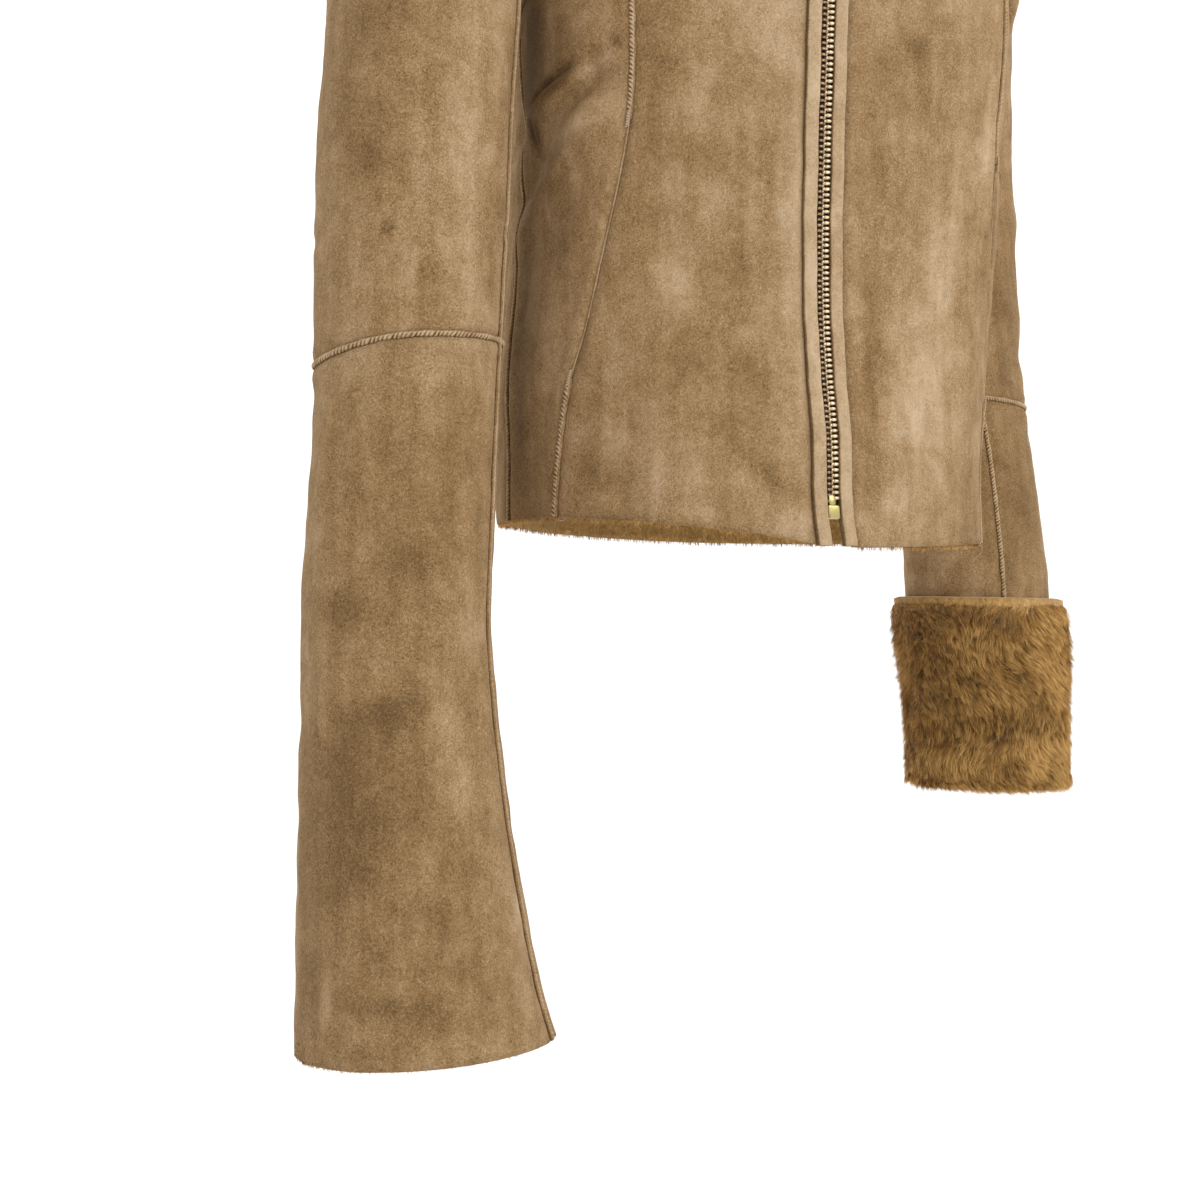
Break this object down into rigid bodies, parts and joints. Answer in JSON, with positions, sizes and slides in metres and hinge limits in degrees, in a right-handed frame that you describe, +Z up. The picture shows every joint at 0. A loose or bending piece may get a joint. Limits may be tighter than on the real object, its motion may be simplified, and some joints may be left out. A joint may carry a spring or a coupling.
{
  "type": "shearling jacket",
  "caption": "Zip-front faux-shearling jacket worn hollow, with long flared sleeves, one turned up to a deep pile cuff.",
  "frame": {"origin": "neck base, between the shoulders that hold the jacket up", "axes": "+Z up, the front faces -Y, the wearer's left is +X"},
  "size_m": [0.7174, 0.3002, 1.0335],
  "materials": {
    "suede": "napped faux suede, tan brown",
    "pile": "golden tan faux-fur pile",
    "zip_tape": "woven brown tape",
    "antique_brass": "antique brass",
    "pale_brass": "pale polished brass"
  },
  "bodies": {
    "jacket": {"front_right": "suede", "front_left": "suede", "side_front_right": "suede", "side_front_left": "suede", "back": "suede", "collar": "suede", "upper_sleeve_right": "suede", "upper_sleeve_left": "suede", "lower_sleeve_right": "suede", "zip_band_right": "suede", "zip_band_left": "suede", "lower_sleeve_left": "pile", "zip_tape_right": "zip_tape", "zip_tape_left": "zip_tape", "zip_chain": "antique_brass", "zip_slider": "antique_brass", "zip_box": "pale_brass"},
    "pull_tab": {"pull_tab": "antique_brass"}
  },
  "joints": [
    {"name": "pull_tab_swing", "type": "hinge", "parent": "jacket", "child": "pull_tab", "pos_m": [0.002, -0.10243, -0.03012], "axis": [-0.9976, 0.0698, 0], "range_deg": [0, 150]}
  ]
}
